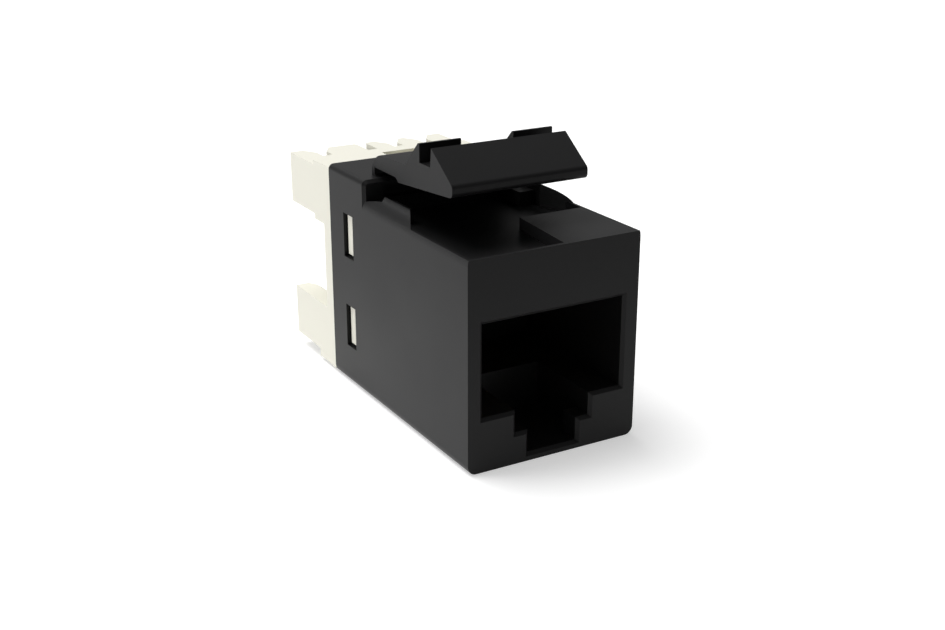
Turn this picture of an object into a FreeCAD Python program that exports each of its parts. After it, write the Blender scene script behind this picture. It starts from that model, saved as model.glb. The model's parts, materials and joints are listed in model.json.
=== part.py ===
import FreeCAD, Part
import math
import os

# Keystone jack, millimetres. X runs across the port, Y from the plug side to the cable side,
# Z up. The origin is under the middle of the whole jack, on the plane it rests on.
# Depths are measured back from the front face, heights from that plane.

V = FreeCAD.Vector

# Housing, outside
WIDTH = 14.5                  # fills the port of a wall plate
HOUSING_LENGTH = 22.5
FRONT_HEIGHT = 16.2           # top of the part that stands in the port
CHEEK_HEIGHT = 17.1           # guard walls beside the latch
COLLAR_HEIGHT = 18.1
COLLAR_START = 16.15
SHOULDER_RADIUS = 1.35        # top outer edge of the guard walls
BOTTOM_RADIUS = 0.7
COLLAR_RADIUS = 0.45
COLLAR_BEVEL = 0.25

# Housing, walls
FRONT_WALL = 1.8
REAR_WALL = 1.0               # side walls round the termination block
FLOOR_WALL = 1.0
ROOF_WALL = 1.0
SKIN = 0.3                    # thin lip round the shallow recess in the top

# Plug opening, seen from the front
PLUG_WIDTH = 11.96
PLUG_TOP = 11.33
SHELF = 4.2                   # the plug body slides on it
STEP_WIDTH = 6.4
STEP_BOTTOM = 2.42
KEY_WIDTH = 4.2
KEY_BOTTOM = 0.6
PLUG_DEPTH = 13.2
KEY_POCKET_END = 7.2          # room for the plug's tab behind the front wall
LEAD_IN = 0.25
CORE_LIFT = 1.0               # cored hollow under the rear of the shelf
CORE_FRONT = 10.9

# Seat of the wall plate: groove below, latch slot above
PANEL_SEAT = 8.0
PANEL_SLOT = 1.64
CATCH_DEPTH = 1.3
CATCH_MARGIN = 1.5            # left at each end of the groove

# Top of the housing
CHANNEL_FLOOR = 15.25
CHANNEL_CLEARANCE = 0.4       # beside the latch
CHEEK_FRONT = 8.3             # where a guard wall starts at the side face
CHEEK_FULL_LEFT = 10.45       # and where it is full thickness, beside the latch
CHEEK_FULL_RIGHT = 11.9
LEDGE_LENGTH = 3.45           # ledges beside the latch, in front of the collar
LEDGE_WIDTH = 1.35
NOTCH_FLOOR = 16.4            # height of the ledges and of the notches in the guard walls
NOTCH_LENGTH = 2.1            # from the collar to the notch's front corner
NOTCH_INNER_LENGTH = 1.55     # and along the channel
NOTCH_CORNER = 0.6            # side wall left at the front corner
NOTCH_LIP = 0.2               # and at the collar
PAD_LEFT_FRONT = 0.75         # raised pad right of the recess, left edge in front
PAD_LEFT_REAR = 1.4
PAD_REAR = 7.25

# Latch: an arm with a wedge, springing from a thin upright web on the collar
LATCH_WIDTH = 11.5
NOSE_DEPTH = 4.78
NOSE_BOTTOM = 19.2
NOSE_TOP = 20.05
NOSE_RADIUS = 0.42
WEDGE_TOP = 22.2
WEDGE_LEAN = 0.16             # the wedge's rear face leans forwards by this much
SLOT_FLOOR = 20.76
RIB_TOP = 22.17
RIB_LAND = 0.22
RIB_GAP = 4.5                 # free width between the two ribs
RIB_SLOPE = 45.0
ARM_TOP = 20.15
ARM_HEEL = 13.14              # underside is lowest here
ARM_HEEL_HEIGHT = 18.49
ROOT_UNDERSIDE = 18.81
RELIEF_LENGTH = 0.6           # curve from the heel up to the root's underside
KNEE_TOP = 20.0               # top of the rounded rear end of the arm
KNEE_RADIUS = 1.9
WEB_SETBACK = 0.95            # web's front face, behind the front of the collar
WEB_THICKNESS = 0.36          # at its top
WEB_FOOT = 0.25               # radius at the front foot of the web
WEB_SINK = 0.2                # web reaches this far into the collar
WEB_GAP = 0.04                # parting gap on top of the web
ROOT_POCKET_WIDTH = 11.0
ROOT_POCKET_FLOOR = 16.5
ROOT_POCKET_ROOF = 17.58
WEDGE_WALL = 1.0
WEDGE_FRONT_WALL = 1.5
WEDGE_RIB = 0.8
WEDGE_CORE_ROOF = 19.3

# Side windows and the snap lugs of the termination block
WINDOW_START = 18.25
WINDOW_LENGTH = 1.7
WINDOW_SPANS = ((3.35, 6.95), (11.05, 14.7))
LUG_CLEARANCE = 0.2
LUG_RAMP = 0.6
LUG_BELOW_SIDE = 0.3          # lugs stay this far inside the side face

# Termination block
FIT = 0.1                     # all round, inside the housing
TERMINATION_LENGTH = 8.0      # stands out behind the housing
FLANGE_THICKNESS = 1.4
FLANGE_INSET = 0.05
FLANGE_BOTTOM = 0.3
FLANGE_TOP = 17.8
FLANGE_GAP = 0.03
KEY_SLOT = (-1.1, 2.4)        # slot in the top of the upper tower's base, across the jack
KEY_SLOT_START = 24.25
KEY_SLOT_LENGTH = 0.95
KEY_SLOT_DEPTH = 1.0
TOWER_BASE_LENGTH = 1.85
# Each tower: outer and inner height, those of its base, and which way is out
LOWER_TOWER = (1.05, 5.4, 0.35, 5.4, -1)
UPPER_TOWER = (17.4, 13.15, 17.75, 12.7, 1)
BOARD_ARM = 0.45              # side arms that reach round the board
# Middle wire slots of a tower: place across the jack, and depth in front of the flare
MIDDLE_SLOTS = ((-0.6, 2.3), (1.95, 1.3))
OUTER_SLOT_DEPTH = 1.3
WIRE_SLOT = 0.9
WIRE_SLOT_DEPTH = 2.55
WIRE_FLARE = 31.0
CABLE_RADIUS = 10.6           # dish that leads the cable to the towers
CABLE_DISH = 1.6

# Metal parts
CONTACT_COUNT = 8
CONTACT_PITCH = 1.016
CONTACT_WIDTH = 0.35
CONTACT_THICKNESS = 0.3
CONTACT_BEND = 0.75           # centre line radius round the nose of the carrier
CONTACT_SLOPE = 24.0
CONTACT_LEVEL = 13.0          # height of the run under the roof
CONTACT_NOSE = 3.9            # depth of the bend's centre
CONTACT_TIP_HEIGHT = 8.95
CONTACT_TIP_BEND = 1.2
CONTACT_TIP_END = 12.5
CONTACT_NOSE_GAP = 0.05       # free between a contact and the carrier: at its bend,
CONTACT_RUN_GAP = 0.02        # under its straight run,
CONTACT_TIP_GAP = 0.08        # under its tip
CONTACT_END_GAP = 0.3         # and behind it
TERMINAL_THICKNESS = 0.5
TERMINAL_WIDTH = 1.9
TERMINAL_FORK = 0.4
TERMINAL_FORK_DEPTH = 2.2
TERMINAL_TIP = 1.2            # tines end this far before the tower's end
TERMINAL_MOUTH = 1.0
TERMINAL_EDGE = 0.75          # from the edge of the board
PIN_WIDTH = 0.5

# Board and contact carrier
BOARD_THICKNESS = 1.6
BOARD_CLEARANCE = 0.1
BOARD_RADIUS = 0.2
BOARD_EDGE = 0.85             # block material above and below the board
HOLE_CLEARANCE = 0.08
CARRIER_FIT = 0.08
CARRIER_FRONT_GAP = 0.2
CARRIER_FOOT = 0.1
COMB_SLOT = 0.55
COMB_FRONT = 11.2
COMB_BOTTOM = 8.62
STOP_WALL = 1.2
CARRIER_RIB = 1.0
CARRIER_TOP_GAP = 0.1

# Worked out from the sizes above
LENGTH = HOUSING_LENGTH + TERMINATION_LENGTH
FRONT_Y = -LENGTH / 2
HALF = WIDTH / 2
PLUG_HALF = PLUG_WIDTH / 2
LATCH_HALF = LATCH_WIDTH / 2
CHANNEL_HALF = LATCH_HALF + CHANNEL_CLEARANCE
REAR_HALF = HALF - REAR_WALL
CARRIER_ROOF = CHANNEL_FLOOR - ROOF_WALL
COLLAR_ROOF = COLLAR_HEIGHT - ROOF_WALL
BOARD_FRONT = WINDOW_START + BOARD_CLEARANCE / 2
BOARD_REAR = BOARD_FRONT + BOARD_THICKNESS
BLOCK_HALF = REAR_HALF - FIT
BLOCK_BOTTOM = FLOOR_WALL + FIT
BLOCK_TOP = COLLAR_ROOF - FIT
BOARD_HALF = BLOCK_HALF - BOARD_ARM - BOARD_CLEARANCE
BOARD_BOTTOM = BLOCK_BOTTOM + BOARD_EDGE
BOARD_TOP = BLOCK_TOP - BOARD_EDGE
OUTER_SLOT = BOARD_HALF - TERMINAL_EDGE
WIRE_SLOTS = ((-OUTER_SLOT, OUTER_SLOT_DEPTH), *MIDDLE_SLOTS, (OUTER_SLOT, OUTER_SLOT_DEPTH))
CARRIER_HALF = min(PLUG_HALF, REAR_HALF) - CARRIER_FIT
CARRIER_REAR_HALF = REAR_HALF - CARRIER_FIT
CARRIER_END = BOARD_FRONT - BOARD_CLEARANCE / 2
LEDGE_FRONT = COLLAR_START - LEDGE_LENGTH
KNEE_HEIGHT = KNEE_TOP - KNEE_RADIUS
KNEE_TURN = math.asin((ROOT_UNDERSIDE - KNEE_HEIGHT) / KNEE_RADIUS)
WEB_FRONT = COLLAR_START + WEB_SETBACK
WEB_REAR = WEB_FRONT + WEB_THICKNESS
KNEE_DEPTH = WEB_REAR - KNEE_RADIUS * math.cos(KNEE_TURN)
FLANGE_START = HOUSING_LENGTH + FLANGE_GAP
FLANGE_END = FLANGE_START + FLANGE_THICKNESS
TOWER_BASE_END = FLANGE_END + TOWER_BASE_LENGTH
MANDREL_RADIUS = CONTACT_BEND - CONTACT_THICKNESS / 2 - CONTACT_NOSE_GAP
MANDREL_HEIGHT = CONTACT_LEVEL - CONTACT_BEND
FAR = 60.0                    # longer than anything here, for cutting tools
OVERLAP = 0.1                 # blocks and tools that join reach into each other by this much


def slab(x0, x1, d0, d1, z0, z1):
    """A block between two sides, two depths and two heights."""
    return Part.makeBox(x1 - x0, d1 - d0, z1 - z0, V(x0, FRONT_Y + d0, z0))


def across(outline, x0, x1):
    """A (depth, height) outline carried across the jack."""
    points = [V(x0, FRONT_Y + d, z) for d, z in outline]
    face = Part.Face(Part.makePolygon(points + points[:1]))
    return face.extrude(V(x1 - x0, 0, 0))


def along(outline, d0, d1):
    """An (x, height) outline carried from front to rear."""
    points = [V(x, FRONT_Y + d0, z) for x, z in outline]
    face = Part.Face(Part.makePolygon(points + points[:1]))
    return face.extrude(V(0, d1 - d0, 0))


def upright(outline, z0, z1):
    """An (x, depth) plan outline carried upwards."""
    points = [V(x, FRONT_Y + d, z0) for x, d in outline]
    face = Part.Face(Part.makePolygon(points + points[:1]))
    return face.extrude(V(0, 0, z1 - z0))


def rod_across(radius, depth, height, x0, x1):
    """A round bar across the jack."""
    return Part.makeCylinder(radius, x1 - x0, V(x0, FRONT_Y + depth, height), V(1, 0, 0))


def is_straight_along(edge, axis):
    """True for a straight edge along one of the axes."""
    if edge.Curve.TypeId != "Part::GeomLine":
        return False
    direction = edge.tangentAt(edge.FirstParameter)
    return abs(abs(direction.dot(axis)) - 1) < 1e-6


def near(value, wanted):
    return abs(value - wanted) < 1e-4


def rounded(shape, radius, axis, chosen):
    """Rounds the straight edges along one axis whose middle passes the chosen test."""
    edges = [e for e in shape.Edges if is_straight_along(e, axis) and chosen(e.CenterOfMass)]
    return shape.makeFillet(radius, edges)


def bevelled(shape, size, chosen):
    """Bevels the straight edges whose middle passes the chosen test."""
    edges = [e for e in shape.Edges if e.Curve.TypeId == "Part::GeomLine" and chosen(e.CenterOfMass)]
    return shape.makeChamfer(size, edges)


ALONG_X = V(1, 0, 0)
ALONG_Y = V(0, 1, 0)


def plug_outline():
    """The keyed outline of the plug opening."""
    step, key = STEP_WIDTH / 2, KEY_WIDTH / 2
    right = [(key, KEY_BOTTOM), (key, STEP_BOTTOM), (step, STEP_BOTTOM),
             (step, SHELF), (PLUG_HALF, SHELF), (PLUG_HALF, PLUG_TOP)]
    left = [(-x, z) for x, z in reversed(right)]
    return right + left


def on_plug_mouth(point):
    """True on the front edges of the plug opening."""
    inside = abs(point.x) < PLUG_HALF + 0.01 and KEY_BOTTOM - 0.01 < point.z < PLUG_TOP + 0.01
    return near(point.y, FRONT_Y) and inside


def housing_body():
    """Outer form: shouldered body, higher collar, both from front outlines."""
    body = slab(-HALF, HALF, 0, HOUSING_LENGTH, 0, CHEEK_HEIGHT)
    body = rounded(body, SHOULDER_RADIUS, ALONG_Y, lambda c: near(c.z, CHEEK_HEIGHT))
    body = rounded(body, BOTTOM_RADIUS, ALONG_Y, lambda c: near(c.z, 0))
    collar = slab(-HALF, HALF, COLLAR_START, HOUSING_LENGTH, BOTTOM_RADIUS, COLLAR_HEIGHT)
    collar = rounded(collar, COLLAR_RADIUS, ALONG_Y, lambda c: near(c.z, COLLAR_HEIGHT))
    front = FRONT_Y + COLLAR_START
    collar = bevelled(collar, COLLAR_BEVEL, lambda c: near(c.y, front) and near(c.z, COLLAR_HEIGHT))
    return body.fuse(collar).removeSplitter()


def guard_front(x, full):
    """Depth of a guard wall's slanting front, at a distance x from the middle of the jack."""
    return full - (x - CHANNEL_HALF) * (full - CHEEK_FRONT) / (HALF - CHANNEL_HALF)


def top_cuts():
    """Everything taken out of the top in front of the collar."""
    outside = HALF + 1.0
    plan = [(-outside, -1), (outside, -1), (outside, guard_front(outside, CHEEK_FULL_RIGHT)),
            (CHANNEL_HALF, CHEEK_FULL_RIGHT), (-CHANNEL_HALF, CHEEK_FULL_LEFT),
            (-outside, guard_front(outside, CHEEK_FULL_LEFT))]
    above_front = upright(plan, FRONT_HEIGHT, FAR)
    lip = HALF - SKIN
    recess = upright([(-lip, SKIN), (PAD_LEFT_FRONT, SKIN), (PAD_LEFT_REAR, PAD_REAR),
                      (lip, PAD_REAR), (lip, guard_front(lip, CHEEK_FULL_RIGHT)),
                      (CHANNEL_HALF, CHEEK_FULL_RIGHT), (-CHANNEL_HALF, CHEEK_FULL_LEFT),
                      (-lip, guard_front(lip, CHEEK_FULL_LEFT))], CHANNEL_FLOOR, FAR)
    channel = slab(-CHANNEL_HALF, CHANNEL_HALF, PAD_REAR, LEDGE_FRONT, CHANNEL_FLOOR, FAR)
    between = CHANNEL_HALF - LEDGE_WIDTH
    start = LEDGE_FRONT - OVERLAP
    well = slab(-between, between, start, COLLAR_START, CHANNEL_FLOOR, FAR)
    inner = COLLAR_START - NOTCH_INNER_LENGTH
    right = [(CHANNEL_HALF, start), (CHANNEL_HALF, inner),
             (HALF - NOTCH_CORNER, COLLAR_START - NOTCH_LENGTH), (HALF - NOTCH_LIP, COLLAR_START)]
    left = [(-x, d) for x, d in reversed(right)]
    notch = upright(right + left, NOTCH_FLOOR, FAR)
    return [above_front, recess, channel, well, notch]


def inside_cuts():
    """Plug space, carrier space and the tall space for the termination block."""
    opening = along(plug_outline(), -1, FRONT_WALL + OVERLAP)
    plug_space = slab(-PLUG_HALF, PLUG_HALF, FRONT_WALL, PLUG_DEPTH + OVERLAP, SHELF, CARRIER_ROOF)
    key_space = slab(-STEP_WIDTH / 2, STEP_WIDTH / 2, FRONT_WALL, KEY_POCKET_END,
                     KEY_BOTTOM, SHELF + OVERLAP)
    rear = slab(-REAR_HALF, REAR_HALF, PLUG_DEPTH, HOUSING_LENGTH + 1, FLOOR_WALL, CARRIER_ROOF)
    tall = slab(-REAR_HALF, REAR_HALF, WINDOW_START - FIT, HOUSING_LENGTH + 1,
                CARRIER_ROOF - OVERLAP, COLLAR_ROOF)
    core_half = PLUG_HALF - FLOOR_WALL
    core = slab(-core_half, core_half, CORE_FRONT, PLUG_DEPTH + OVERLAP,
                FLOOR_WALL, SHELF - CORE_LIFT)
    return [opening, plug_space, key_space, rear, tall, core]


def web_rear(height):
    """Depth of the web's rear face, which carries the round end of the arm on downwards."""
    return KNEE_DEPTH + math.sqrt(KNEE_RADIUS ** 2 - (height - KNEE_HEIGHT) ** 2)


def latch_web():
    """Thin upright web that bends when the latch is pressed, rounded at its front foot."""
    top = ROOT_UNDERSIDE - WEB_GAP
    middle = (COLLAR_HEIGHT + top) / 2
    sunk = COLLAR_HEIGHT - WEB_SINK
    toe = WEB_FRONT - WEB_FOOT
    reach = WEB_FOOT * math.sqrt(0.5)

    def at(d, z):
        return V(-LATCH_HALF, FRONT_Y + d, z)

    foot = Part.Arc(at(toe, COLLAR_HEIGHT),
                    at(toe + reach, COLLAR_HEIGHT + WEB_FOOT - reach),
                    at(WEB_FRONT, COLLAR_HEIGHT + WEB_FOOT)).toShape()
    back = Part.Arc(at(web_rear(top), top), at(web_rear(middle), middle),
                    at(web_rear(COLLAR_HEIGHT), COLLAR_HEIGHT)).toShape()
    rise = [at(WEB_FRONT, COLLAR_HEIGHT + WEB_FOOT), at(WEB_FRONT, top), at(web_rear(top), top)]
    base = [at(web_rear(COLLAR_HEIGHT), COLLAR_HEIGHT), at(web_rear(COLLAR_HEIGHT), sunk),
            at(toe, sunk), at(toe, COLLAR_HEIGHT)]
    sides = [Part.makeLine(a, b) for run in (rise, base) for a, b in zip(run, run[1:])]
    outline = Part.Wire([foot, *sides[:2], back, *sides[2:]])
    return Part.Face(outline).extrude(V(LATCH_WIDTH, 0, 0))


def housing():
    """Black moulding: port body, guard walls, collar and the web that carries the latch."""
    body = housing_body()
    tools = top_cuts() + inside_cuts()
    for low, high in WINDOW_SPANS:
        tools.append(slab(-FAR, FAR, WINDOW_START, WINDOW_START + WINDOW_LENGTH, low, high))
    catch_half = HALF - CATCH_MARGIN
    tools.append(slab(-catch_half, catch_half, PANEL_SEAT, PANEL_SEAT + PANEL_SLOT, -1, CATCH_DEPTH))
    pocket_half = ROOT_POCKET_WIDTH / 2
    tools.append(slab(-pocket_half, pocket_half, COLLAR_START - OVERLAP, WEB_FRONT,
                      ROOT_POCKET_FLOOR, ROOT_POCKET_ROOF))
    body = body.cut(Part.makeCompound(tools))
    body = bevelled(body, LEAD_IN, on_plug_mouth)
    return body.fuse(latch_web()).removeSplitter()


def release_latch():
    """Arm with a wedge in front and two ribs behind it; the wall plate sits between them."""
    slot_rear = PANEL_SEAT + PANEL_SLOT
    rib_end = slot_rear + RIB_LAND + (RIB_TOP - ARM_TOP) / math.tan(math.radians(RIB_SLOPE))

    def at(d, z):
        return V(-LATCH_HALF, FRONT_Y + d, z)

    middle = (math.pi / 2 + KNEE_TURN) / 2
    knee_middle = at(KNEE_DEPTH + KNEE_RADIUS * math.cos(middle),
                     KNEE_HEIGHT + KNEE_RADIUS * math.sin(middle))
    knee = Part.Arc(at(WEB_REAR, ROOT_UNDERSIDE), knee_middle, at(KNEE_DEPTH, KNEE_TOP)).toShape()
    top = [at(KNEE_DEPTH, KNEE_TOP), at(rib_end, ARM_TOP), at(PANEL_SEAT, ARM_TOP),
           at(PANEL_SEAT, SLOT_FLOOR), at(PANEL_SEAT - WEDGE_LEAN, WEDGE_TOP),
           at(NOSE_DEPTH, NOSE_TOP), at(NOSE_DEPTH, NOSE_BOTTOM), at(ARM_HEEL, ARM_HEEL_HEIGHT)]
    rise = ROOT_UNDERSIDE - ARM_HEEL_HEIGHT
    relief_end = ARM_HEEL + RELIEF_LENGTH
    radius = (RELIEF_LENGTH ** 2 + rise ** 2) / (2 * rise)
    half_turn = math.atan2(rise, RELIEF_LENGTH)
    relief_middle = at(relief_end - radius * math.sin(half_turn),
                       ROOT_UNDERSIDE - radius * (1 - math.cos(half_turn)))
    relief = Part.Arc(top[-1], relief_middle, at(relief_end, ROOT_UNDERSIDE)).toShape()
    root = Part.makeLine(at(relief_end, ROOT_UNDERSIDE), at(WEB_REAR, ROOT_UNDERSIDE))
    sides = [Part.makeLine(a, b) for a, b in zip(top, top[1:])]
    arm = Part.Face(Part.Wire([knee, *sides, relief, root])).extrude(V(LATCH_WIDTH, 0, 0))
    nose = FRONT_Y + NOSE_DEPTH
    arm = rounded(arm, NOSE_RADIUS, ALONG_X, lambda c: near(c.y, nose))

    rib_front, rib_foot = PANEL_SEAT - OVERLAP, ARM_TOP - OVERLAP
    rib = [(rib_front, rib_foot), (rib_front, SLOT_FLOOR),
           (slot_rear, SLOT_FLOOR), (slot_rear, RIB_TOP), (slot_rear + RIB_LAND, RIB_TOP),
           (rib_end, ARM_TOP), (rib_end, rib_foot)]
    ribs = [across(rib, RIB_GAP / 2, LATCH_HALF), across(rib, -LATCH_HALF, -RIB_GAP / 2)]
    latch = arm.fuse(ribs).removeSplitter()

    core_half = LATCH_HALF - WEDGE_WALL
    core_front = NOSE_DEPTH + WEDGE_FRONT_WALL
    core_rear = ARM_HEEL - WEDGE_WALL
    cores = [slab(WEDGE_RIB / 2, core_half, core_front, core_rear, 0, WEDGE_CORE_ROOF),
             slab(-core_half, -WEDGE_RIB / 2, core_front, core_rear, 0, WEDGE_CORE_ROOF)]
    return latch.cut(cores)


def terminal_levels():
    """Heights of the upper and the lower row of wire terminals."""
    return [BOARD_TOP - TERMINAL_EDGE, BOARD_BOTTOM + TERMINAL_EDGE]


def tower(outer, inner, base_outer, base_inner, out):
    """A tower on its base, with the dish for the cable in its inner side."""
    side = HALF - FLANGE_INSET
    body = slab(-side, side, FLANGE_START, LENGTH, min(outer, inner), max(outer, inner))
    base = slab(-side, side, FLANGE_START, TOWER_BASE_END,
                min(base_outer, base_inner), max(base_outer, base_inner))
    start = V(0, FRONT_Y + FLANGE_END, inner - out * (CABLE_RADIUS - CABLE_DISH))
    return body.fuse(base).cut(Part.makeCylinder(CABLE_RADIUS, FAR, start, ALONG_Y))


def wire_slot(x, straight, outer, inner):
    """A slot right through a tower, open to the rear, with a flared mouth."""
    front = LENGTH - WIRE_SLOT_DEPTH
    mouth = front + straight
    narrow = WIRE_SLOT / 2
    wide = narrow + (LENGTH - mouth) * math.tan(math.radians(WIRE_FLARE))
    plan = [(x - narrow, front), (x + narrow, front), (x + narrow, mouth), (x + wide, LENGTH),
            (x + wide, LENGTH + 1), (x - wide, LENGTH + 1), (x - wide, LENGTH), (x - narrow, mouth)]
    return upright(plan, min(outer, inner) - 1, max(outer, inner) + 1)


def snap_lug(side, span):
    """A lug with a ramp, which snaps into a side window."""
    low, high = span[0] + LUG_CLEARANCE, span[1] - LUG_CLEARANCE
    front = WINDOW_START + LUG_CLEARANCE / 2
    rear = WINDOW_START + WINDOW_LENGTH - LUG_CLEARANCE
    root, crest = BLOCK_HALF - OVERLAP, HALF - LUG_BELOW_SIDE
    plan = [(side * root, front), (side * BLOCK_HALF, front), (side * crest, front + LUG_RAMP),
            (side * crest, rear), (side * root, rear)]
    return upright(plan, low, high)


def termination_block():
    """Ivory moulding: plug-in body with snap lugs, flange and the two slotted towers."""
    body = slab(-BLOCK_HALF, BLOCK_HALF, WINDOW_START, FLANGE_START + OVERLAP,
                BLOCK_BOTTOM, BLOCK_TOP)
    side = HALF - FLANGE_INSET
    flange = slab(-side, side, FLANGE_START, FLANGE_END, FLANGE_BOTTOM, FLANGE_TOP)
    solids = [flange, tower(*UPPER_TOWER), tower(*LOWER_TOWER)]
    for span in WINDOW_SPANS:
        solids.append(snap_lug(1, span))
        solids.append(snap_lug(-1, span))
    block = body.fuse(solids).removeSplitter()

    board_half = BOARD_HALF + BOARD_CLEARANCE
    tools = [slab(-board_half, board_half, WINDOW_START - 1, BOARD_REAR + BOARD_CLEARANCE / 2,
                  BOARD_BOTTOM - BOARD_CLEARANCE, BOARD_TOP + BOARD_CLEARANCE)]
    base_top = UPPER_TOWER[2]
    tools.append(slab(*KEY_SLOT, KEY_SLOT_START, KEY_SLOT_START + KEY_SLOT_LENGTH,
                      base_top - KEY_SLOT_DEPTH, base_top + 1))
    pocket_half = TERMINAL_WIDTH / 2 + HOLE_CLEARANCE
    thick = TERMINAL_THICKNESS / 2 + HOLE_CLEARANCE
    for x, straight in WIRE_SLOTS:
        for outer, inner, *_ in (UPPER_TOWER, LOWER_TOWER):
            tools.append(wire_slot(x, straight, outer, inner))
        for level in terminal_levels():
            tools.append(slab(x - pocket_half, x + pocket_half, BOARD_REAR,
                              LENGTH - TERMINAL_TIP + HOLE_CLEARANCE, level - thick, level + thick))
    return block.cut(Part.makeCompound(tools))


def contact_positions():
    """Places of the plug contacts across the jack."""
    middle = (CONTACT_COUNT - 1) / 2
    return [(i - middle) * CONTACT_PITCH for i in range(CONTACT_COUNT)]


def plug_contact(x):
    """Spring wire: pin in the board, run under the roof, turn round the nose, sloping arm, tip."""
    slope = math.radians(CONTACT_SLOPE)
    turn = math.pi - slope

    def at(d, z):
        return V(x, FRONT_Y + d, z)

    def on_bend(angle):
        return at(CONTACT_NOSE - CONTACT_BEND * math.sin(angle),
                  MANDREL_HEIGHT + CONTACT_BEND * math.cos(angle))

    pin = at(BOARD_REAR, CONTACT_LEVEL)
    bend_start = at(CONTACT_NOSE, CONTACT_LEVEL)
    bend_end = on_bend(turn)
    tip_drop = CONTACT_TIP_BEND * (1 - math.cos(slope))
    arm_drop = bend_end.z - CONTACT_TIP_HEIGHT - tip_drop
    arm_end_depth = bend_end.y - FRONT_Y + arm_drop / math.tan(slope)
    arm_end = at(arm_end_depth, bend_end.z - arm_drop)
    tip_start = at(arm_end_depth + CONTACT_TIP_BEND * math.sin(slope), CONTACT_TIP_HEIGHT)
    half = slope / 2
    tip_middle = at(arm_end_depth + CONTACT_TIP_BEND * (math.sin(slope) - math.sin(half)),
                    CONTACT_TIP_HEIGHT + CONTACT_TIP_BEND * (1 - math.cos(half)))
    path = Part.Wire([
        Part.makeLine(pin, bend_start),
        Part.Arc(bend_start, on_bend(turn / 2), bend_end).toShape(),
        Part.makeLine(bend_end, arm_end),
        Part.Arc(arm_end, tip_middle, tip_start).toShape(),
        Part.makeLine(tip_start, at(CONTACT_TIP_END, CONTACT_TIP_HEIGHT))])
    wide, thick = CONTACT_WIDTH / 2, CONTACT_THICKNESS / 2
    section = [V(x - wide, pin.y, pin.z - thick), V(x + wide, pin.y, pin.z - thick),
               V(x + wide, pin.y, pin.z + thick), V(x - wide, pin.y, pin.z + thick)]
    profile = Part.makePolygon(section + section[:1])
    return path.makePipeShell([profile], True, False)


def contact_carrier():
    """Black insert: nose for the contacts to turn round, comb for their tips, stop for the plug."""
    front = FRONT_WALL + CARRIER_FRONT_GAP
    top = CARRIER_ROOF - CARRIER_TOP_GAP
    stop_front = PLUG_DEPTH + CARRIER_FOOT
    stop_rear = stop_front + STOP_WALL
    solids = [slab(-CARRIER_HALF, CARRIER_HALF, front, CARRIER_END, PLUG_TOP + CARRIER_FOOT, top),
              slab(-CARRIER_HALF, CARRIER_HALF, COMB_FRONT, stop_rear, COMB_BOTTOM, top),
              slab(-CARRIER_REAR_HALF, CARRIER_REAR_HALF, stop_front, stop_rear,
                   FLOOR_WALL + CARRIER_FOOT, top)]
    for x0 in (-CARRIER_REAR_HALF, CARRIER_REAR_HALF - CARRIER_RIB):
        solids.append(slab(x0, x0 + CARRIER_RIB, stop_front, CARRIER_END,
                           FLOOR_WALL + CARRIER_FOOT, top))
    carrier = solids[0].fuse(solids[1:]).removeSplitter()

    run_floor = CONTACT_LEVEL - CONTACT_THICKNESS / 2 - CONTACT_RUN_GAP
    under_nose = MANDREL_HEIGHT - MANDREL_RADIUS
    slot_floor = CONTACT_TIP_HEIGHT - CONTACT_THICKNESS / 2 - CONTACT_TIP_GAP
    slot_end = CONTACT_TIP_END + CONTACT_END_GAP
    groove_front = CONTACT_NOSE - CONTACT_RUN_GAP
    tools = []
    for x in contact_positions():
        x0, x1 = x - COMB_SLOT / 2, x + COMB_SLOT / 2
        ahead = slab(x0, x1, 0, CONTACT_NOSE, 0, FAR)
        mandrel = rod_across(MANDREL_RADIUS, CONTACT_NOSE, MANDREL_HEIGHT, x0 - 1, x1 + 1)
        tools.append(ahead.cut(mandrel))
        tools.append(slab(x0, x1, groove_front, CARRIER_END + 1, run_floor, FAR))
        tools.append(slab(x0, x1, groove_front, slot_end, slot_floor, under_nose))
    return carrier.cut(Part.makeCompound(tools))


def circuit_board():
    """Upright board between the carrier and the block, drilled for contacts and terminals."""
    board = slab(-BOARD_HALF, BOARD_HALF, BOARD_FRONT, BOARD_REAR, BOARD_BOTTOM, BOARD_TOP)
    board = rounded(board, BOARD_RADIUS, ALONG_Y, lambda c: True)
    tools = []
    radius = math.hypot(CONTACT_WIDTH, CONTACT_THICKNESS) / 2 + HOLE_CLEARANCE
    for x in contact_positions():
        start = V(x, FRONT_Y + BOARD_FRONT - 1, CONTACT_LEVEL)
        tools.append(Part.makeCylinder(radius, BOARD_THICKNESS + 2, start, ALONG_Y))
    radius = math.hypot(PIN_WIDTH, TERMINAL_THICKNESS) / 2 + HOLE_CLEARANCE
    for level in terminal_levels():
        for x, _ in WIRE_SLOTS:
            start = V(x, FRONT_Y + BOARD_FRONT - 1, level)
            tools.append(Part.makeCylinder(radius, BOARD_THICKNESS + 2, start, ALONG_Y))
    return board.cut(Part.makeCompound(tools))


def wire_terminal(x, level):
    """Forked blade that cuts through a wire's insulation, with a pin into the board."""
    half, pin, gap, mouth = TERMINAL_WIDTH / 2, PIN_WIDTH / 2, TERMINAL_FORK / 2, TERMINAL_MOUTH / 2
    tip = LENGTH - TERMINAL_TIP
    shoulder = BOARD_REAR + BOARD_CLEARANCE
    fork = tip - TERMINAL_FORK_DEPTH
    right = [(pin, BOARD_FRONT), (pin, shoulder), (half, shoulder), (half, tip), (mouth, tip),
             (gap, tip - mouth), (gap, fork)]
    plan = [(x + a, d) for a, d in right] + [(x - a, d) for a, d in reversed(right)]
    return upright(plan, level - TERMINAL_THICKNESS / 2, level + TERMINAL_THICKNESS / 2)


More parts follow.
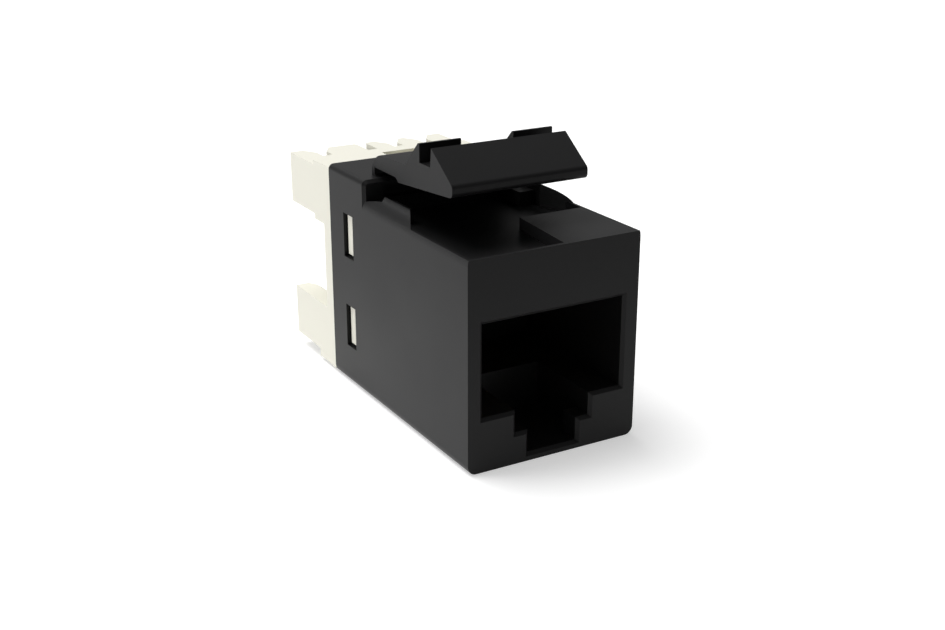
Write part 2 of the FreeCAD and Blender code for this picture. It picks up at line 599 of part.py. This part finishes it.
def build():
    """All pieces, by node name."""
    pieces = {
        "housing": housing(),
        "release_latch": release_latch(),
        "termination_block": termination_block(),
        "contact_carrier": contact_carrier(),
        "circuit_board": circuit_board(),
    }
    for number, x in enumerate(contact_positions(), start=1):
        pieces[f"plug_contact_{number}"] = plug_contact(x)
    number = 1
    for level in terminal_levels():
        for x, _ in WIRE_SLOTS:
            pieces[f"wire_terminal_{number}"] = wire_terminal(x, level)
            number += 1
    return pieces


def main():
    os.makedirs("parts", exist_ok=True)
    for name, shape in build().items():
        solid = shape.Solids[0] if len(shape.Solids) == 1 else shape
        solid.exportStep(f"parts/{name}.step")
        print(name, "solids", len(shape.Solids), "valid", shape.isValid(), "volume", round(shape.Volume, 3))


main()
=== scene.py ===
# %% [markdown]
# Keystone jack
#
# A keystone jack is the small black block that snaps into a wall plate and takes a network
# plug. It is a few moulded pieces round a row of spring wires: a housing, a latch, an ivory
# block where the cable's wires are pressed in, and a carrier and a board inside. All of them
# come from the imported model at their real size. This file gives each its finish, adds the
# marks that moulding leaves and a strip of plastic at the root of the latch, and sets up
# the light and the camera.

import json
import math

import bpy
import numpy as np
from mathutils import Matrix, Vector


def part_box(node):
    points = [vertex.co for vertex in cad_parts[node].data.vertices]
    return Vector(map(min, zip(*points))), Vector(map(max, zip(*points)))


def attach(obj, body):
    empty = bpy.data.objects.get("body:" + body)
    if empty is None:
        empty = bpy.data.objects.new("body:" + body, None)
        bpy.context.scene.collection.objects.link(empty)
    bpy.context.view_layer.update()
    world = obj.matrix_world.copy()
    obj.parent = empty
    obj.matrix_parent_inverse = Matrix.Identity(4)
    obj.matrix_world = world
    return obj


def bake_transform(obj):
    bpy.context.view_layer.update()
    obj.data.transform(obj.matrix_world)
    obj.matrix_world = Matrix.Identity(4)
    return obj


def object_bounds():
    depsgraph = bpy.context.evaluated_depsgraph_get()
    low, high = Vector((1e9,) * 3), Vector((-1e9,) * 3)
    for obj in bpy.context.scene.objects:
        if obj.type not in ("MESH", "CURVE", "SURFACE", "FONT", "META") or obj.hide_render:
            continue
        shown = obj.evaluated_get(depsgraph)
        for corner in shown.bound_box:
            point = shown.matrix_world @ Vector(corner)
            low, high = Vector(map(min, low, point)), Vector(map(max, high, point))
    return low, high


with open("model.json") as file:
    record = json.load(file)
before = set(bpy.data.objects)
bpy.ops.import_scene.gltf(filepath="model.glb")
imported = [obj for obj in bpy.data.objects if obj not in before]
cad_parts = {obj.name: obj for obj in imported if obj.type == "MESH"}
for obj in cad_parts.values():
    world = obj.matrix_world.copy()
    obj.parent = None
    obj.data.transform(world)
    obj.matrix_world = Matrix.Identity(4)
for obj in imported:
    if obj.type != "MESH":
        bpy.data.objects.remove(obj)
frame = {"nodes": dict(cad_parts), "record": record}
nodes = frame["nodes"]
cad_box = [list(corner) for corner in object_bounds()]
print("the packed model spans", cad_box)

# %% Sizes that the rest of the file shares
MM = 0.001
LOWEST, HIGHEST = (Vector(corner) for corner in cad_box)
MIDDLE = (LOWEST + HIGHEST) / 2
FRONT_FACE = LOWEST.y
HOUSING_LOW, HOUSING_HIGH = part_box("housing")
print("housing width in mm", round((HOUSING_HIGH.x - HOUSING_LOW.x) / MM, 2))

# %% [markdown]
# The camera
#
# The view has strong perspective, which tells that the camera stood close. Its place was
# worked out from the corners of the housing, whose real size is known, so it is written here
# as a place, a heading and a lens, in the same frame as the model. The heading is measured
# from straight ahead, and the tilt from the horizon.

# %% Camera
EYE = Vector((-50.52, FRONT_FACE / MM - 75.31, 44.55)) * MM
HEADING = math.radians(30.095)
TILT = math.radians(20.345)
LENS, SENSOR_WIDTH = 51.52, 36.0             # both in mm

view_direction = Vector((math.sin(HEADING) * math.cos(TILT),
                         math.cos(HEADING) * math.cos(TILT),
                         -math.sin(TILT)))
camera_data = bpy.data.cameras.new("camera")
camera_data.sensor_width = SENSOR_WIDTH
camera_data.lens = LENS
camera_data.clip_start = 1 * MM
camera_data.clip_end = 10.0
camera = bpy.data.objects.new("camera", camera_data)
camera.location = EYE
camera.rotation_mode = "QUATERNION"
camera.rotation_quaternion = view_direction.to_track_quat("-Z", "Y")
bpy.context.scene.collection.objects.link(camera)
bpy.context.scene.camera = camera
bpy.context.scene.view_settings.view_transform = "Standard"
print("camera stands", round((EYE - MIDDLE).length, 3), "m from the middle of the jack")

# %% [markdown]
# Helpers for node trees
#
# A material is a tree of small nodes. Four helpers keep the trees below short: one starts a
# material with its output, one gives a socket a number or a link, one adds a piece of
# arithmetic, and one turns a range of values into another.


# %% Helpers for node trees
def new_material(name):
    """A material with an empty node tree, the tree, and its output node."""
    material = bpy.data.materials.new(name)
    material.use_nodes = True
    tree = material.node_tree
    tree.nodes.clear()
    output = tree.nodes.new("ShaderNodeOutputMaterial")
    return material, tree, output


def feed(tree, socket, value):
    """Sets a socket to a plain number, or links it to the socket that feeds it."""
    if isinstance(value, (int, float)):
        socket.default_value = value
    else:
        tree.links.new(value, socket)


def math_node(tree, operation, *values):
    """The result of a Math node on plain numbers and sockets."""
    node = tree.nodes.new("ShaderNodeMath")
    node.operation = operation
    for socket, value in zip(node.inputs, values):
        feed(tree, socket, value)
    return node.outputs[0]


def range_node(tree, value, start, end, first, last):
    """Goes evenly from the first to the last as the value goes from start to end."""
    node = tree.nodes.new("ShaderNodeMapRange")
    limits = {"Value": value, "From Min": start, "From Max": end, "To Min": first, "To Max": last}
    for name, limit in limits.items():
        feed(tree, node.inputs[name], limit)
    return node.outputs["Result"]


# %% [markdown]
# Floor
#
# The jack stands on white card. Card is matt, so a plain diffuse shader does, and a little of
# its own light is added where the camera or a reflection looks at it: that keeps the card
# white, while the jack itself gets no light from it. The camera sees more of it further away,
# where the lamps hardly reach, so the card has no grey end. A reflection sees more of it close
# to the jack, because the foot of a black wall would otherwise only mirror the jack's shadow.

# %% Floor
FLOOR_SIZE = 6.0
FLOOR_DROP = 0.02 * MM
FLOOR_COLOUR = (0.70, 0.70, 0.70, 1)
SEEN_NEAR, SEEN_FAR = 0.45, 0.95             # glow where the camera looks
SEEN_START, SEEN_END = 0.10, 0.45            # metres from the jack between which it changes
MIRRORED_NEAR, MIRRORED_FAR = 0.46, 0.05     # glow where a reflection looks
MIRRORED_START, MIRRORED_END = 0.012, 0.050

floor_mesh = bpy.data.meshes.new("floor")
half = FLOOR_SIZE / 2
floor_mesh.from_pydata([(-half, -half, -FLOOR_DROP), (half, -half, -FLOOR_DROP),
                        (half, half, -FLOOR_DROP), (-half, half, -FLOOR_DROP)], [], [(0, 1, 2, 3)])
floor = bpy.data.objects.new("floor", floor_mesh)
bpy.context.scene.collection.objects.link(floor)

floor_material, tree, output = new_material("pale_floor")
card = tree.nodes.new("ShaderNodeBsdfDiffuse")
card.inputs["Color"].default_value = FLOOR_COLOUR
rays = tree.nodes.new("ShaderNodeLightPath").outputs
mirrored = math_node(tree, "MAXIMUM", rays["Is Glossy Ray"], rays["Is Transmission Ray"])
place = tree.nodes.new("ShaderNodeTexCoord")
away = tree.nodes.new("ShaderNodeVectorMath")
away.operation = "LENGTH"
tree.links.new(place.outputs["Object"], away.inputs[0])
distance = away.outputs["Value"]
seen = range_node(tree, distance, SEEN_START, SEEN_END, SEEN_NEAR, SEEN_FAR)
seen = math_node(tree, "MULTIPLY", rays["Is Camera Ray"], seen)
shine = range_node(tree, distance, MIRRORED_START, MIRRORED_END, MIRRORED_NEAR, MIRRORED_FAR)
glow = tree.nodes.new("ShaderNodeEmission")
tree.links.new(math_node(tree, "MULTIPLY_ADD", mirrored, shine, seen), glow.inputs["Strength"])
both = tree.nodes.new("ShaderNodeAddShader")
tree.links.new(card.outputs[0], both.inputs[0])
tree.links.new(glow.outputs[0], both.inputs[1])
tree.links.new(both.outputs[0], output.inputs["Surface"])
floor_mesh.materials.append(floor_material)
print("the card is", FLOOR_SIZE, "m wide")

# %% [markdown]
# Light
#
# Black plastic shows little of its own colour: what the eye reads is the room in its sheen.
# Here the side faces mirror the white card, and the top mirrors the air low behind the jack.
# That air is dark and it grows pale towards the ceiling, as under a softbox, so the top stays
# darker than the sides. Two soft lamps, one left and one high behind, do the rest, mostly for
# the ivory. Where the camera looks past the card it sees plain white.

# %% Dome and lamps
DOME_HORIZON = 0.22
DOME_ZENITH = 0.42
DOME_POWER = 2.0
DOME_BACK = 0.6               # how much paler the air is behind the jack than at its sides

world = bpy.data.worlds.new("dome")
world.use_nodes = True
tree = world.node_tree
background = tree.nodes["Background"]
background.inputs["Color"].default_value = (1, 1, 1, 1)
direction = tree.nodes.new("ShaderNodeTexCoord")
parts = tree.nodes.new("ShaderNodeSeparateXYZ")
tree.links.new(direction.outputs["Generated"], parts.inputs[0])
height = math_node(tree, "MAXIMUM", parts.outputs["Z"], 0.0)
rise = math_node(tree, "POWER", height, DOME_POWER)
level = math_node(tree, "MULTIPLY_ADD", rise, DOME_ZENITH - DOME_HORIZON, DOME_HORIZON)
towards_back = math_node(tree, "MULTIPLY_ADD", parts.outputs["Y"], DOME_BACK, 1.0)
dome = math_node(tree, "MULTIPLY", level, towards_back)
rays = tree.nodes.new("ShaderNodeLightPath").outputs
white = math_node(tree, "MAXIMUM", rays["Is Camera Ray"], rays["Is Transmission Ray"])
tree.links.new(math_node(tree, "MAXIMUM", dome, white), background.inputs["Strength"])
bpy.context.scene.world = world


def soft_lamp(name, place, size, power):
    """A square area lamp at a place, aimed at the middle of the jack, in metres and watts."""
    data = bpy.data.lights.new(name, "AREA")
    data.shape = "SQUARE"
    data.size = size
    data.energy = power
    lamp = bpy.data.objects.new(name, data)
    lamp.location = place
    lamp.rotation_mode = "QUATERNION"
    lamp.rotation_quaternion = (MIDDLE - lamp.location).to_track_quat("-Z", "Y")
    bpy.context.scene.collection.objects.link(lamp)
    print(name, "is", round((MIDDLE - lamp.location).length, 2), "m away and has", power, "W")


soft_lamp("left_lamp", (-0.34, 0.13, 0.05), size=0.12, power=0.44)
soft_lamp("top_lamp", (-0.10, 0.14, 0.42), size=0.30, power=2.0)

# %% [markdown]
# What moulding leaves on plastic
#
# Moulded plastic looks alike from far off, but no wall of it is even. The steel mould was
# spark-eroded or polished, so the skin has a fine grain, and the melt cooled unevenly, so the
# sheen wanders slowly across a wall. One node group makes both from two noises, a fine one for
# the grain and a coarse one for the sheen, and each plastic places it with its own values.


# %% Helpers for node groups
BUMP_HEIGHT = 0.01 * MM       # of the grain, the streaks and the weave
GROUP_RESULTS = {"Colour": "NodeSocketColor", "Roughness": "NodeSocketFloat",
                 "Normal": "NodeSocketVector"}


def new_group(name, first_values):
    """A node group that takes named values and puts out a colour, a roughness and a normal."""
    group = bpy.data.node_groups.new(name, "ShaderNodeTree")
    for label, value in first_values.items():
        kind = "NodeSocketFloat" if isinstance(value, float) else "NodeSocketColor"
        socket = group.interface.new_socket(name=label, in_out="INPUT", socket_type=kind)
        socket.default_value = value
    for label, kind in GROUP_RESULTS.items():
        group.interface.new_socket(name=label, in_out="OUTPUT", socket_type=kind)
    given = group.nodes.new("NodeGroupInput").outputs
    result = group.nodes.new("NodeGroupOutput").inputs
    return group, given, result


def scaled_colour(tree, colour, factor):
    """A colour times a factor, both from sockets."""
    node = tree.nodes.new("ShaderNodeVectorMath")
    node.operation = "SCALE"
    tree.links.new(colour, node.inputs[0])
    tree.links.new(factor, node.inputs["Scale"])
    return node.outputs[0]


def bump_node(tree, height, strength):
    """A normal that leans with a height."""
    node = tree.nodes.new("ShaderNodeBump")
    node.inputs["Distance"].default_value = BUMP_HEIGHT
    feed(tree, node.inputs["Height"], height)
    feed(tree, node.inputs["Strength"], strength)
    return node.outputs[0]


# %% Group: moulded skin
FLOW_SCALE = 140.0            # waves of uneven sheen per metre, about 7 mm long


def make_moulded_skin():
    """Roughness = middle + swing times coarse noise; colour is scaled by the same noise; the
    normal leans with a fine noise, the grain."""
    group, given, result = new_group("moulded_skin", {
        "Colour": (0.5, 0.5, 0.5, 1), "Tint swing": 0.05,
        "Roughness": 0.4, "Roughness swing": 0.1,
        "Grain size": 0.08, "Grain depth": 0.1})
    place = group.nodes.new("ShaderNodeTexCoord")

    flow = group.nodes.new("ShaderNodeTexNoise")
    flow.inputs["Scale"].default_value = FLOW_SCALE
    flow.inputs["Detail"].default_value = 3.0
    group.links.new(place.outputs["Object"], flow.inputs["Vector"])
    centred = math_node(group, "SUBTRACT", flow.outputs["Fac"], 0.5)
    rough = math_node(group, "MULTIPLY_ADD", centred, given["Roughness swing"], given["Roughness"])
    group.links.new(rough, result["Roughness"])
    tint = math_node(group, "MULTIPLY_ADD", centred, given["Tint swing"], 1.0)
    group.links.new(scaled_colour(group, given["Colour"], tint), result["Colour"])

    grain = group.nodes.new("ShaderNodeTexNoise")
    grain.inputs["Detail"].default_value = 2.0
    group.links.new(place.outputs["Object"], grain.inputs["Vector"])
    group.links.new(math_node(group, "DIVIDE", 1 / MM, given["Grain size"]), grain.inputs["Scale"])
    normal = bump_node(group, grain.outputs["Fac"], given["Grain depth"])
    group.links.new(normal, result["Normal"])
    return group


moulded_skin = make_moulded_skin()
print("group", moulded_skin.name, "has", len(moulded_skin.nodes), "nodes")

# %% Plastics that use it
SHADER_SOCKETS = {"Colour": "Base Color", "Roughness": "Roughness", "Normal": "Normal"}


def finish(name, group, even, varied):
    """A material whose shader holds what is even over the surface, and takes the rest from a
    group, which is placed here with the material's own values."""
    material, tree, output = new_material(name)
    shader = tree.nodes.new("ShaderNodeBsdfPrincipled")
    for label, number in even.items():
        shader.inputs[label].default_value = number
    node = tree.nodes.new("ShaderNodeGroup")
    node.node_tree = group
    for label, value in varied.items():
        node.inputs[label].default_value = value
    for label, socket in SHADER_SOCKETS.items():
        tree.links.new(node.outputs[label], shader.inputs[socket])
    tree.links.new(shader.outputs[0], output.inputs["Surface"])
    return material


black_plastic = finish("black_plastic", moulded_skin, {"Specular IOR Level": 0.20}, {
    "Colour": (0.0085, 0.0085, 0.0088, 1), "Tint swing": 0.25,
    "Roughness": 0.42, "Roughness swing": 0.10,
    "Grain size": 0.06, "Grain depth": 0.12})
ivory_plastic = finish("ivory_plastic", moulded_skin, {"Specular IOR Level": 0.40}, {
    "Colour": (0.80, 0.785, 0.69, 1), "Tint swing": 0.02,
    "Roughness": 0.50, "Roughness swing": 0.10,
    "Grain size": 0.08, "Grain depth": 0.10})
print("plastics", black_plastic.name, ivory_plastic.name)

# %% [markdown]
# Board and metal parts
#
# The board is glass cloth in resin under green lacquer, so it gets a faint weave under a thin
# gloss. The spring wires are drawn and gold-plated, and the blades are stamped and tinned: both
# carry fine lines along their length, which a stretched noise gives. Plating is no perfect
# mirror. Its grain scatters a part of the light, so that the wires show their colour in the
# dark of the plug opening, where a mirror would look black.


# %% Group: drawn lines
STREAK_SQUEEZE = 0.04         # a streak is 25 times as long as it is wide
STREAK_ROUGHNESS = 0.25       # how much a streak adds to the roughness
STREAK_DARKEST = 0.85         # share of the colour where there is no streak
STREAK_SWING = 0.3            # and how much a streak adds to it
STREAK_DEPTH = 0.15


def make_drawn_lines():
    """Noise squeezed along Y gives long streaks, which move roughness, colour and height."""
    group, given, result = new_group("drawn_lines", {
        "Colour": (0.8, 0.6, 0.3, 1), "Roughness": 0.25, "Line width": 0.03})
    place = group.nodes.new("ShaderNodeTexCoord")

    squeeze = group.nodes.new("ShaderNodeMapping")
    squeeze.inputs["Scale"].default_value = (1.0, STREAK_SQUEEZE, 1.0)
    group.links.new(place.outputs["Object"], squeeze.inputs["Vector"])
    noise = group.nodes.new("ShaderNodeTexNoise")
    noise.inputs["Detail"].default_value = 3.0
    group.links.new(squeeze.outputs[0], noise.inputs["Vector"])
    group.links.new(math_node(group, "DIVIDE", 1 / MM, given["Line width"]), noise.inputs["Scale"])
    streak = noise.outputs["Fac"]

    rough = math_node(group, "MULTIPLY_ADD", streak, STREAK_ROUGHNESS, given["Roughness"])
    group.links.new(rough, result["Roughness"])
    tint = math_node(group, "MULTIPLY_ADD", streak, STREAK_SWING, STREAK_DARKEST)
    group.links.new(scaled_colour(group, given["Colour"], tint), result["Colour"])
    group.links.new(bump_node(group, streak, STREAK_DEPTH), result["Normal"])
    return group


drawn_lines = make_drawn_lines()
print("group", drawn_lines.name, "has", len(drawn_lines.nodes), "nodes")

# %% Metals that use it
# The grain of the plating scatters what metallic leaves of the light.
gold_wire = finish("gold_wire", drawn_lines, {"Metallic": 0.75}, {
    "Colour": (0.83, 0.58, 0.22, 1), "Roughness": 0.15, "Line width": 0.05})
tin_blade = finish("tin_blade", drawn_lines, {"Metallic": 0.90}, {
    "Colour": (0.70, 0.70, 0.68, 1), "Roughness": 0.25, "Line width": 0.08})
print("metals", gold_wire.name, tin_blade.name)

# %% Board
WEAVE_SCALE = 650.0           # this wave repeats every 0.31 / scale, so a thread is 0.5 mm wide
WEAVE_UNEVEN = 0.6
WEAVE_DEPTH = 0.2
LACQUER_DARK = (0.012, 0.08, 0.03, 1)
LACQUER_LIGHT = (0.03, 0.16, 0.06, 1)


def board_laminate():
    """Two crossed waves make the cloth's weave, seen faintly through green lacquer."""
    material, tree, output = new_material("board_laminate")
    shader = tree.nodes.new("ShaderNodeBsdfPrincipled")
    shader.inputs["Roughness"].default_value = 0.3
    shader.inputs["Coat Weight"].default_value = 0.4
    place = tree.nodes.new("ShaderNodeTexCoord")
    threads = []
    for axis in ("X", "Z"):
        wave = tree.nodes.new("ShaderNodeTexWave")
        wave.bands_direction = axis
        wave.inputs["Scale"].default_value = WEAVE_SCALE
        wave.inputs["Distortion"].default_value = WEAVE_UNEVEN
        tree.links.new(place.outputs["Object"], wave.inputs["Vector"])
        threads.append(wave.outputs["Fac"])
    weave = math_node(tree, "MULTIPLY", *threads)
    lacquer = tree.nodes.new("ShaderNodeMix")
    lacquer.data_type = "RGBA"
    factor, dark, light = (lacquer.inputs[i] for i in (0, 6, 7))     # those of a colour mix
    dark.default_value = LACQUER_DARK
    light.default_value = LACQUER_LIGHT
    tree.links.new(weave, factor)
    tree.links.new(lacquer.outputs[2], shader.inputs["Base Color"])
    tree.links.new(bump_node(tree, weave, WEAVE_DEPTH), shader.inputs["Normal"])
    tree.links.new(shader.outputs[0], output.inputs["Surface"])
    return material


lacquered_board = board_laminate()
print("board", lacquered_board.name)

# %% [markdown]
# Giving the finishes out
#
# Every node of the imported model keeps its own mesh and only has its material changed. The
# record already says which slot each node takes, so one loop serves all of them.

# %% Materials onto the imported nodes
FINISHES = {
    "black_plastic": black_plastic,
    "ivory_plastic": ivory_plastic,
    "board_laminate": lacquered_board,
    "gold_wire": gold_wire,
    "tin_blade": tin_blade,
}
for row in frame["record"]["subparts"]:
    piece = nodes[row["node"]]
    piece.data.materials.clear()
    piece.data.materials.append(FINISHES[row["material_slot"]])
print(len(nodes), "nodes have their finish")

# %% [markdown]
# Marks of the ejector pins
#
# Steel pins push a moulding out of its mould, and each leaves a round ridge a few hundredths
# of a millimetre high, where plastic crept round it. A bump in the material would vanish at
# the edge of a wall, so the ridges are real surfaces here. On the ivory block they stand on the
# wall between the two towers, where a maker puts them because the cable hides that wall.


# %% Pin marks on the ivory block
PIN_RADIUS = 0.9 * MM
RIDGE_WIDTH = 0.14 * MM
RIDGE_HEIGHT = 0.05 * MM      # half of it lies in the wall
PIN_PLACES = [(x * MM, z * MM) for x in (-4.6, 4.6) for z in (7.3, 10.9)]
FLANGE_THICKNESS = 1.43 * MM
FLANGE_REAR = HOUSING_HIGH.y + FLANGE_THICKNESS
TURNS, SECTION = 64, 10       # points round a ring, and round its section


def grid_faces(rows, columns, closed):
    """Faces between the points of a grid. Each row runs round and closes on itself, and a
    closed grid also has faces from its last row back to its first."""
    row, column = np.meshgrid(np.arange(rows if closed else rows - 1), np.arange(columns),
                              indexing="ij")
    next_row, next_column = (row + 1) % rows, (column + 1) % columns
    corners = [(row, column), (row, next_column), (next_row, next_column), (next_row, column)]
    return np.stack([a * columns + b for a, b in corners], axis=-1).reshape(-1, 4)


def ridge_ring(x, z):
    """A ring round Y: a point goes round a circle by the first angle, and round a small flat
    ellipse on that circle by the second, so that the ring closes on itself both ways."""
    turn = np.linspace(0, 2 * np.pi, TURNS, endpoint=False)[:, None]
    round_it = np.linspace(0, 2 * np.pi, SECTION, endpoint=False)[None, :]
    reach = PIN_RADIUS + RIDGE_WIDTH / 2 * np.cos(round_it)
    across = x + reach * np.cos(turn)
    up = z + reach * np.sin(turn)
    out = np.repeat(FLANGE_REAR + RIDGE_HEIGHT / 2 * np.sin(round_it), TURNS, axis=0)
    points = np.stack([across, out, up], axis=-1).reshape(-1, 3)
    return points, grid_faces(TURNS, SECTION, closed=True)


def faces_outward(piece):
    """A closed skin holds a positive volume, a third of the sum of centre . normal x area, only
    when its faces look outward."""
    return sum(face.center.dot(face.normal) * face.area for face in piece.data.polygons) > 0


def add_piece(name, surfaces, material):
    """One piece from a list of closed (points, faces) surfaces, in its slot."""
    points = np.concatenate([p for p, _ in surfaces])
    starts = np.cumsum([0] + [len(p) for p, _ in surfaces[:-1]])
    faces = np.concatenate([f + start for (_, f), start in zip(surfaces, starts)])
    mesh = bpy.data.meshes.new(name)
    mesh.from_pydata(points.tolist(), [], faces.tolist())
    mesh.materials.append(material)
    piece = bpy.data.objects.new(name, mesh)
    bpy.context.scene.collection.objects.link(piece)
    print(name, "has", len(faces), "faces, all outward:", faces_outward(piece))
    return piece


pin_marks = add_piece("block_pin_marks", [ridge_ring(x, z) for x, z in PIN_PLACES],
                      ivory_plastic)
pin_marks.data.shade_smooth()
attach(pin_marks, "body")

# %% [markdown]
# The strip of web that bends
#
# Latch and housing are one moulding, joined by a thin upright web under the root of the latch.
# The imported model parts them at the top of the web, by a few hundredths of a millimetre, since
# one turns against the other there. A short strip of skin round that line closes it.


# %% Bending strip at the root of the latch
HINGE = Vector(frame["record"]["behaviour"]["joints"][0]["pos_m"])
LATCH_LOW, LATCH_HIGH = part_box("release_latch")
WEB_THICKNESS = 0.36 * MM     # at its top, behind the line it bends about
KNEE_RADIUS = 1.9 * MM        # of the rear of the latch, which the web carries on downwards
KNEE_DROP = 0.69 * MM         # from the bending line down to the middle of that circle
UNDERSIDE = 0.02 * MM         # from the bending line up to the latch
STRIP_SKIN = 0.015 * MM       # the strip stands out by this much all round
STRIP_BELOW = 0.24 * MM
STRIP_ABOVE = 0.11 * MM
STRIP_ROWS = 15
KNEE_Z = HINGE.z - KNEE_DROP
KNEE_Y = HINGE.y + WEB_THICKNESS - math.sqrt(KNEE_RADIUS ** 2 - (KNEE_DROP + UNDERSIDE) ** 2)


def web_strip():
    """Rows of rectangles seen from above: the front side is flat, and the rear side is the knee's
    circle at each height, middle + sqrt(radius squared - height squared)."""
    height = HINGE.z + np.linspace(-STRIP_BELOW, STRIP_ABOVE, STRIP_ROWS)
    front = np.full(STRIP_ROWS, HINGE.y - STRIP_SKIN)
    rear = KNEE_Y + np.sqrt((KNEE_RADIUS + STRIP_SKIN) ** 2 - (height - KNEE_Z) ** 2)
    left = np.full(STRIP_ROWS, LATCH_LOW.x - STRIP_SKIN)
    right = np.full(STRIP_ROWS, LATCH_HIGH.x + STRIP_SKIN)
    across = np.stack([left, right, right, left], axis=1)
    deep = np.stack([front, front, rear, rear], axis=1)
    up = np.repeat(height[:, None], 4, axis=1)
    points = np.stack([across, deep, up], axis=-1).reshape(-1, 3)
    last = 4 * (STRIP_ROWS - 1)
    ends = np.array([[3, 2, 1, 0], [last, last + 1, last + 2, last + 3]])
    return points, np.concatenate([grid_faces(STRIP_ROWS, 4, closed=False), ends])


strip = add_piece("latch_web_strip", [web_strip()], black_plastic)
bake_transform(strip)
